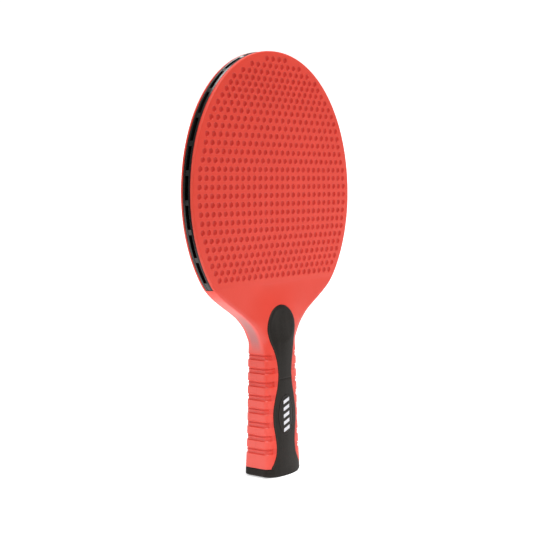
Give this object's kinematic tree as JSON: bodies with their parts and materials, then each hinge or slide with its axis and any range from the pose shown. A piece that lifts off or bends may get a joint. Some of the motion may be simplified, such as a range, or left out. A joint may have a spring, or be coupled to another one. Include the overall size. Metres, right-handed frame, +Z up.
{
  "type": "Table tennis paddle",
  "caption": "Outdoor table tennis paddle: dimpled red covers over a windowed black core, red ribbed grip with black inlays and a black butt cap.",
  "frame": {"origin": "centre of the butt cap's flat end, on the handle's axis", "axes": "+Z up the handle to the top of the blade, -Y out of the front face, +X to the right when looking at the front face"},
  "size_m": [0.151, 0.0226, 0.2518],
  "materials": {
    "cover_red": "satin moulded elastomer",
    "core_black": "moulded nylon",
    "grip_black": "fine-grained soft plastic",
    "badge_black": "fine-grained plastic",
    "screw_steel": "zinc-plated"
  },
  "bodies": {
    "root": {"core_tray": "core_black", "core_lid": "core_black", "front_cover": "cover_red", "rear_cover": "cover_red", "front_scale": "core_black", "rear_scale": "core_black", "front_inlay": "grip_black", "rear_inlay": "grip_black", "front_badge": "badge_black", "rear_badge": "badge_black", "butt_cap": "grip_black", "handle_screw_1": "screw_steel", "handle_screw_2": "screw_steel", "handle_screw_3": "screw_steel"}
  },
  "joints": []
}
